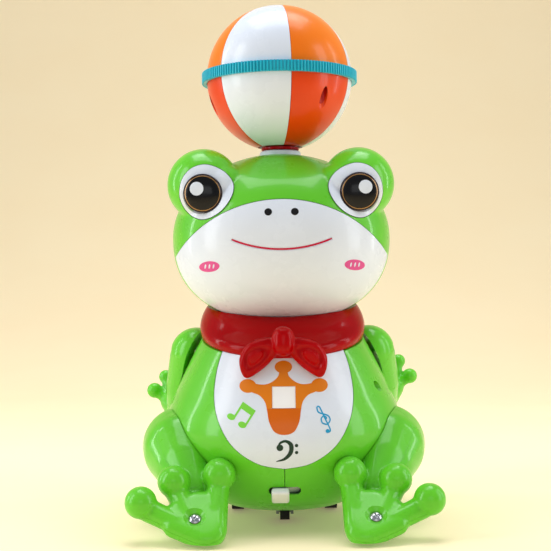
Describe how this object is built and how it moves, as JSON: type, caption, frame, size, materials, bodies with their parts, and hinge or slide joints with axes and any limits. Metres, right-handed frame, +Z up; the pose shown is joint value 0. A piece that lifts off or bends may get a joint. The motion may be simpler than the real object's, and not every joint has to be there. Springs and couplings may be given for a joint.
{
  "type": "toy frog",
  "caption": "Plastic musical toy frog with a spinning beach ball on its head, swinging arms, a slide switch and hidden drive wheels.",
  "frame": {"origin": "middle of the footprint on the surface that the wheels stand on", "axes": "+Z up, the frog faces -Y, +X to the right of someone who looks at its face"},
  "size_m": [0.144, 0.1382, 0.2526],
  "materials": {
    "green_plastic": "glossy moulded",
    "white_plastic": "glossy moulded",
    "orange_plastic": "glossy moulded",
    "teal_plastic": "satin moulded, ribbed",
    "red_plastic": "glossy moulded",
    "black_plastic": "polished dome",
    "clear_plastic": "frosted, lets light through",
    "grey_plastic": "plain inner moulding",
    "board": "lacquered board",
    "cell_jacket": "plain printed jacket",
    "screw_steel": "zinc plated",
    "bright_steel": "ground",
    "wheel_rubber": "matte"
  },
  "bodies": {
    "body": {"body_left_shell": "green_plastic", "body_right_shell": "green_plastic", "base_plate": "green_plastic", "belly_plate": "white_plastic", "light_window": "clear_plastic", "neckerchief": "red_plastic", "body_screw": "screw_steel", "head_front_shell": "green_plastic", "head_back_shell": "green_plastic", "face_plate": "white_plastic", "eye_white_left": "white_plastic", "eye_white_right": "white_plastic", "eye_iris_left": "black_plastic", "eye_iris_right": "black_plastic", "ball_seat": "white_plastic", "ball_motor": "bright_steel", "leg_left": "green_plastic", "leg_right": "green_plastic", "foot_sole_left": "green_plastic", "foot_sole_right": "green_plastic", "foot_screw_left": "screw_steel", "foot_screw_right": "screw_steel", "arm_gear_unit": "grey_plastic", "battery_box": "grey_plastic", "battery_cover": "green_plastic", "battery_cover_screw": "screw_steel", "cell_1": "cell_jacket", "cell_2": "cell_jacket", "cell_3": "cell_jacket", "circuit_board": "board", "lamp": "clear_plastic", "speaker": "grey_plastic", "switch_body": "grey_plastic", "drive_gear_unit": "grey_plastic"},
    "ball": {"ball_upper_shell": "orange_plastic", "ball_lower_shell": "orange_plastic", "ball_upper_gore_1": "white_plastic", "ball_upper_gore_2": "white_plastic", "ball_upper_gore_3": "white_plastic", "ball_lower_gore_1": "white_plastic", "ball_lower_gore_2": "white_plastic", "ball_lower_gore_3": "white_plastic", "ball_ring": "teal_plastic", "ball_neck": "red_plastic", "ball_spindle": "bright_steel", "ball_screw_1": "screw_steel", "ball_screw_2": "screw_steel", "ball_screw_3": "screw_steel"},
    "arm_right": {"arm_right": "green_plastic", "arm_shaft_right": "bright_steel", "arm_screw_right": "screw_steel"},
    "arm_left": {"arm_left": "green_plastic", "arm_shaft_left": "bright_steel", "arm_screw_left": "screw_steel"},
    "switch": {"switch_knob": "white_plastic"},
    "axle": {"drive_axle": "bright_steel", "drive_wheel_left": "wheel_rubber", "drive_wheel_right": "wheel_rubber"},
    "caster": {"caster_fork": "grey_plastic"},
    "caster_wheel": {"caster_wheel": "wheel_rubber"}
  },
  "joints": [
    {"name": "ball_spin", "type": "hinge", "parent": "body", "child": "ball", "pos_m": [0, 0.0109, 0.2165], "axis": [0, 0, 1], "continuous": true},
    {"name": "arm_right_swing", "type": "hinge", "parent": "body", "child": "arm_right", "pos_m": [0.045, 0.0239, 0.0805], "axis": [1, 0, 0], "range_deg": [-21.5, 8.5]},
    {"name": "arm_left_swing", "type": "hinge", "parent": "body", "child": "arm_left", "pos_m": [-0.045, 0.0239, 0.0805], "axis": [1, 0, 0], "range_deg": [-8.5, 21.5]},
    {"name": "switch_slide", "type": "slide", "parent": "body", "child": "switch", "axis": [1, 0, 0], "range_m": [0, 0.0055]},
    {"name": "axle_spin", "type": "hinge", "parent": "body", "child": "axle", "pos_m": [0, 0.0209, 0.009], "axis": [1, 0, 0], "continuous": true},
    {"name": "caster_swivel", "type": "hinge", "parent": "body", "child": "caster", "pos_m": [0, -0.0091, 0.0105], "axis": [0, 0, 1], "continuous": true},
    {"name": "caster_roll", "type": "hinge", "parent": "caster", "child": "caster_wheel", "pos_m": [0, -0.0061, 0.0046], "axis": [1, 0, 0], "continuous": true}
  ],
  "couplings": [
    {"joint": "arm_left_swing", "follows": "arm_right_swing", "ratio": -1}
  ]
}
